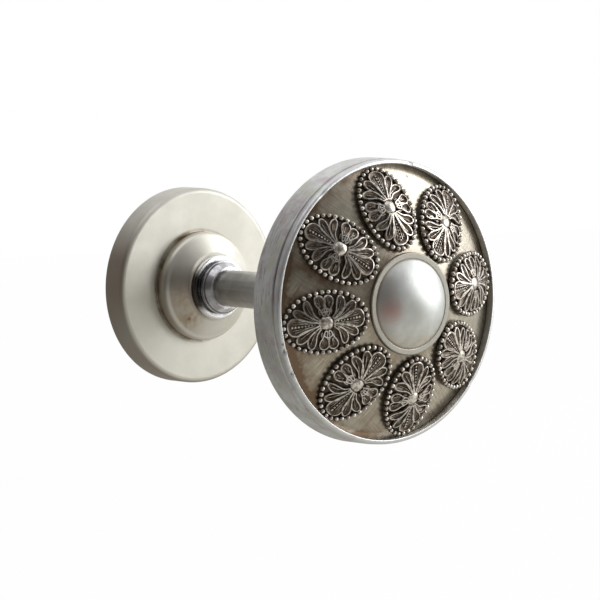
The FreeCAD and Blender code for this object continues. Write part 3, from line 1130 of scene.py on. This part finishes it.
def seat(clock):
    turn = math.radians(clock)
    away = Vector((math.cos(turn), 0, math.sin(turn)))
    along = away * math.cos(SLOPE) + Vector((0, math.sin(SLOPE), 0))
    up = away * math.sin(SLOPE) - Vector((0, math.cos(SLOPE), 0))
    place = Matrix((along, up.cross(along), up)).transposed().to_4x4()
    place.translation = away * PITCH + Vector((0, -PITCH_OUT, 0))
    return Matrix.Scale(MM, 4) @ place


for number in range(OVALS):
    placed = oval.copy()
    clock = FIRST_CLOCK - number * 360 / OVALS
    bmesh.ops.transform(placed, matrix=seat(clock), verts=placed.verts[:])
    finish_piece("filigree_oval_" + str(number + 1), placed, medallion_pewter,
                 "medallion_" + str(number + 1), crease=60)
oval.free()

# %% [markdown]
# ## Hidden hardware
# The strap, studs and nuts inside are plain, so the frame's own nodes stay and only get the steel.

# %% Give the hidden nodes their steel
for name in ("mounting_strap", "wall_stud", "stud_nuts", "head_stud"):
    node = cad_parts[name]
    node.data.materials.clear()
    node.data.materials.append(plain_steel)
print("steel on the hidden nodes")

# %% [markdown]
# ## Camera, floor and light
# The camera stands a metre and a half off with a long lens, to the left of the head and a little
# above. Its three axes are kept, because the cards and the lamp are placed by them too.

# %% Camera
SENSOR = 36
PICTURE = 600
LENS = 4650 / PICTURE * SENSOR
AZIMUTH = math.radians(-39.35)
ELEVATION = math.radians(4.16)
DISTANCE = 1500
backwards = Vector((math.sin(AZIMUTH) * math.cos(ELEVATION),
                    -math.cos(AZIMUTH) * math.cos(ELEVATION), math.sin(ELEVATION)))
rightwards = Vector((math.cos(AZIMUTH), math.sin(AZIMUTH), 0))
upwards = backwards.cross(rightwards)

camera = bpy.data.objects.new("camera", bpy.data.cameras.new("camera"))
camera.data.lens = LENS
camera.data.sensor_width = SENSOR
camera.data.clip_end = 20
aim = Vector((0, -50, 0)) + rightwards * 7.066 - upwards * 2.472
view = Matrix((rightwards, upwards, backwards)).transposed().to_4x4()
view.translation = (aim + backwards * DISTANCE) * MM
camera.matrix_world = view
bpy.context.scene.collection.objects.link(camera)
bpy.context.scene.camera = camera
print("camera", [round(side, 3) for side in camera.location])

# %% [markdown]
# The floor has to be white in the picture and still take a shadow. Rays from the camera, and from
# mirrors and glass, mostly meet a plain white glow, and the light itself falls on a pale surface.

# %% Floor
def stage_piece(name, bm, material):
    """An object of the studio, which isn't part of the holdback."""
    mesh = bpy.data.meshes.new(name)
    bm.to_mesh(mesh)
    bm.free()
    mesh.materials.append(material)
    made = bpy.data.objects.new(name, mesh)
    bpy.context.scene.collection.objects.link(made)
    return made


def level_sheet(name, height, size, material):
    bm = bmesh.new()
    bmesh.ops.create_grid(bm, x_segments=1, y_segments=1, size=size / 2,
                          matrix=Matrix.Translation((0, 0, height)))
    return stage_piece(name, bm, material)


def floor_finish():
    finish = new_finish("pale_floor")
    finish.paint(Base_Color=(0.86, 0.86, 0.85), Roughness=0.9)
    white = finish.node("ShaderNodeEmission", {}, {"Color": (1, 1, 1, 1), "Strength": 1.0})
    plain = Value(finish, finish.shader.outputs[0])
    share = finish.seen() * 0.985
    return finish.show(finish.node("ShaderNodeMixShader", {}, {0: share, 1: plain, 2: white}))


level_sheet("floor", -0.34, 9, floor_finish())
print("floor laid")

# %% [markdown]
# The studio is white behind the object and dark behind the camera, and that difference is what
# makes satin metal read as metal. A curved card stands round the front and the left. It glows
# faintly, darkest behind the camera, so that it acts as a dim room would, and a low card does the
# same for the table. Neither is seen by the camera.

# %% Dim cards round the front and below
CARD_DISTANCE = 2.4
CARD_LOW = math.radians(-8)
CARD_HIGH = math.radians(52)
CARD_START = math.radians(72)
CARD_SWEEP = math.radians(-224)


def card_finish(name, tone_of, tint):
    """A faintly glowing card; its strength comes from the direction of each of its points."""
    finish = new_finish(name)
    here = finish.node("ShaderNodeTexCoord", output="Object")
    right, back, up = [
        finish.node("ShaderNodeVectorMath", {"operation": "DOT_PRODUCT"},
                    {0: here, 1: tuple(way / CARD_DISTANCE)}, output="Value")
        for way in (rightwards, backwards, upwards)]
    strength = tone_of(finish, right, back, up)
    inputs = {"Color": (*tint, 1), "Strength": strength}
    return finish.show(finish.node("ShaderNodeEmission", {}, inputs))


def room_tone(finish, right, back, up):
    """Dark in front, lighter to the right, above and behind the left shoulder."""
    return (0.11 + 0.16 * finish.step(right, 0.2, 1.0) + 0.10 * finish.step(-right, 0.4, 1.0)
            + 0.25 * finish.step(-back, 0.0, 0.6) + 0.14 * finish.step(up, 0.25, 0.8))


def table_tone(finish, right, back, up):
    """Dim on the left and brighter on the right."""
    return 0.27 + 0.5 * finish.step(right, -0.25, 0.35)


def front_card():
    """A band of a sphere, from an arc that is spun part of the way round."""
    bm = bmesh.new()
    level = Vector((backwards.x, backwards.y, 0)).normalized() * CARD_DISTANCE
    start = bm.verts.new(Matrix.Rotation(-CARD_LOW, 3, rightwards) @ level)
    bmesh.ops.spin(bm, geom=[start], cent=(0, 0, 0), axis=rightwards,
                   angle=CARD_LOW - CARD_HIGH, steps=12)
    bmesh.ops.rotate(bm, cent=(0, 0, 0), matrix=Matrix.Rotation(CARD_START, 3, "Z"),
                     verts=bm.verts[:])
    bmesh.ops.spin(bm, geom=bm.verts[:] + bm.edges[:], cent=(0, 0, 0), axis=(0, 0, 1),
                   angle=CARD_SWEEP, steps=48)
    return stage_piece("card_in_front", bm, card_finish("room_card", room_tone, (1.0, 0.985, 0.96)))


table_card = card_finish("table_card", table_tone, (1.0, 0.975, 0.90))
table = level_sheet("card_below", -0.33, 4.6, table_card)
for card in (front_card(), table):
    card.visible_camera = False
    card.visible_shadow = False
print("cards up")

# %% [markdown]
# One wide soft lamp stands close on the right, a little above. It gives the bright side of the dome
# and of every wire. The world is white where it is seen and dimmer where it lights, so that the
# background stays white and the shadows keep their depth.

# %% Lamp and world
LAMP_TARGET = Vector((0, -0.06, 0))


def lamp(name, direction, distance, size, power):
    """A soft round lamp that looks at the head."""
    light = bpy.data.lights.new(name, "AREA")
    light.shape = "DISK"
    light.size = size
    light.energy = power
    made = bpy.data.objects.new(name, light)
    way = direction.normalized()
    made.matrix_world = (Matrix.Translation(LAMP_TARGET + way * distance)
                         @ way.to_track_quat("Z", "Y").to_matrix().to_4x4())
    bpy.context.scene.collection.objects.link(made)


lamp("key", rightwards * 0.95 + upwards * 0.31 - backwards * 0.05, 0.9, 0.78, 4.1)

world = Finish(bpy.data.worlds.new("studio"))
ground = world.tree.nodes["Background"]
ground.inputs["Color"].default_value = (1, 1, 1, 1)
world.join(0.45 + 0.55 * world.seen(), ground.inputs["Strength"])
bpy.context.scene.world = world.owner
bpy.context.scene.view_settings.view_transform = "Standard"
print("lit")
